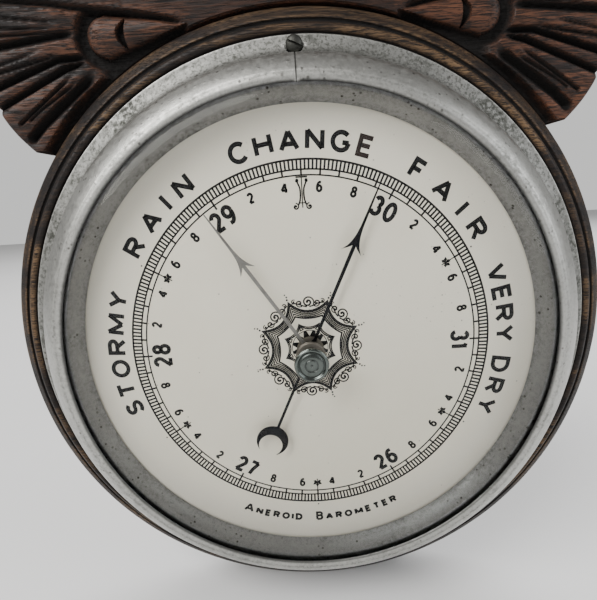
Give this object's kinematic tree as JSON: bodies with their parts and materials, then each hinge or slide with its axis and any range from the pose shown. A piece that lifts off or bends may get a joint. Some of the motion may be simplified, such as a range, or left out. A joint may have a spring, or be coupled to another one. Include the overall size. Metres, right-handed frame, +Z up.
{
  "type": "aneroid barometer",
  "caption": "Round wall aneroid barometer in a turned and carved oak case, with a plated bezel, printed dial, pointer and a hand set by a knob.",
  "frame": {"origin": "centre of the rear cover's outer face, on the pointer's axis, in the flat back plane that lies on the wall", "axes": "+Z up, +X to the right of a person who reads the dial, the dial faces -Y and the back of the case is the plane Y = 0"},
  "size_m": [0.2274, 0.0575, 0.2937],
  "materials": {
    "oak": "dark stained oak, horizontal grain, waxed and worn",
    "nickel": "nickel plate on brass, matted with age",
    "glass": "clear bevelled plate glass",
    "dial_paint": "off-white painted metal with a printed scale",
    "brass": "lacquered brass",
    "steel": "bright steel",
    "blued_steel": "blued steel",
    "silvered_brass": "silvered brass, satin",
    "tarnished_steel": "tarnished steel, matt",
    "iron": "black japanned iron"
  },
  "bodies": {
    "case": {"turned_case": "oak", "crest_board": "oak", "crest_dowel_left": "oak", "crest_dowel_right": "oak", "bezel": "nickel", "reflector_ring": "nickel", "dial_glass": "glass", "dial_plate": "dial_paint", "rear_cover": "brass", "hanger_plate": "brass", "dial_screw_1": "brass", "dial_screw_2": "brass", "dial_screw_3": "brass", "movement_drum": "brass", "movement_base": "brass", "vacuum_capsule": "brass", "shaft_bracket_left": "brass", "shaft_bracket_right": "brass", "arbor_frame": "brass", "frame_pillar_left": "brass", "frame_pillar_right": "brass", "knob_bush": "brass", "bush_nut": "brass", "rear_cover_screw_1": "steel", "rear_cover_screw_2": "steel", "rear_cover_screw_3": "steel", "hanger_screw_lower": "steel", "hanger_screw_upper": "steel", "base_screw_1": "steel", "base_screw_2": "steel", "base_screw_3": "steel", "frame_screw_left": "steel", "frame_screw_right": "steel", "hairspring": "blued_steel", "bezel_screw_top": "tarnished_steel", "bezel_screw_left": "tarnished_steel", "bezel_screw_right": "tarnished_steel", "spring_bridge": "iron", "spring_clamp": "iron"},
    "pointer": {"pointer_arbor": "steel", "hairspring_collet": "brass", "pointer_collet": "brass", "pointer_cap": "brass", "main_pointer": "blued_steel"},
    "set_hand": {"setting_knob": "nickel", "set_hand_spindle": "steel", "set_hand_collet": "brass", "set_hand": "silvered_brass"},
    "spring_lever": {"mainspring": "steel", "main_lever": "brass"},
    "link": {"connecting_link": "steel"},
    "rocking_shaft": {"rocking_shaft": "steel"},
    "chain": {"chain": "steel"},
    "capsule_centre": {"capsule_centre": "steel"},
    "adjusting_screw": {"adjusting_screw": "steel"}
  },
  "joints": [
    {"name": "pointer_turn", "type": "hinge", "parent": "case", "child": "pointer", "pos_m": [0, -0.036, 0], "axis": [0, 1, 0], "range_deg": [-234, 125], "stiffness_Nm_per_rad": 0.0012},
    {"name": "set_hand_turn", "type": "hinge", "parent": "case", "child": "set_hand", "pos_m": [0, -0.0417, 0], "axis": [0, 1, 0], "continuous": true},
    {"name": "lever_tilt", "type": "hinge", "parent": "case", "child": "spring_lever", "pos_m": [0, -0.0212, 0.025], "axis": [1, 0, 0], "range_deg": [-2.6, 1.4]},
    {"name": "link_swing", "type": "hinge", "parent": "spring_lever", "child": "link", "pos_m": [0, -0.0212, -0.03], "axis": [1, 0, 0], "range_deg": [-1.4, 2.6]},
    {"name": "shaft_rock", "type": "hinge", "parent": "case", "child": "rocking_shaft", "pos_m": [0, -0.0158, -0.036], "axis": [1, 0, 0], "range_deg": [-12.6, 23.5]},
    {"name": "chain_swing", "type": "hinge", "parent": "rocking_shaft", "child": "chain", "pos_m": [0.016, -0.0298, -0.036], "axis": [1, 0, 0], "range_deg": [-23.5, 12.6]},
    {"name": "capsule_flex", "type": "slide", "parent": "case", "child": "capsule_centre", "axis": [0, 1, 0], "range_m": [-0.0012, 0.0007]},
    {"name": "adjusting_screw_turn", "type": "hinge", "parent": "case", "child": "adjusting_screw", "pos_m": [0, -0.0036, 0.03], "axis": [0, 1, 0], "range_deg": [-720, 720]}
  ],
  "couplings": [
    {"joint": "lever_tilt", "follows": "pointer_turn", "ratio": 0.01091},
    {"joint": "link_swing", "follows": "pointer_turn", "ratio": -0.01091},
    {"joint": "shaft_rock", "follows": "pointer_turn", "ratio": -0.1},
    {"joint": "chain_swing", "follows": "pointer_turn", "ratio": 0.1},
    {"joint": "capsule_flex", "follows": "pointer_turn", "m_per_rad": 0.0002727}
  ]
}
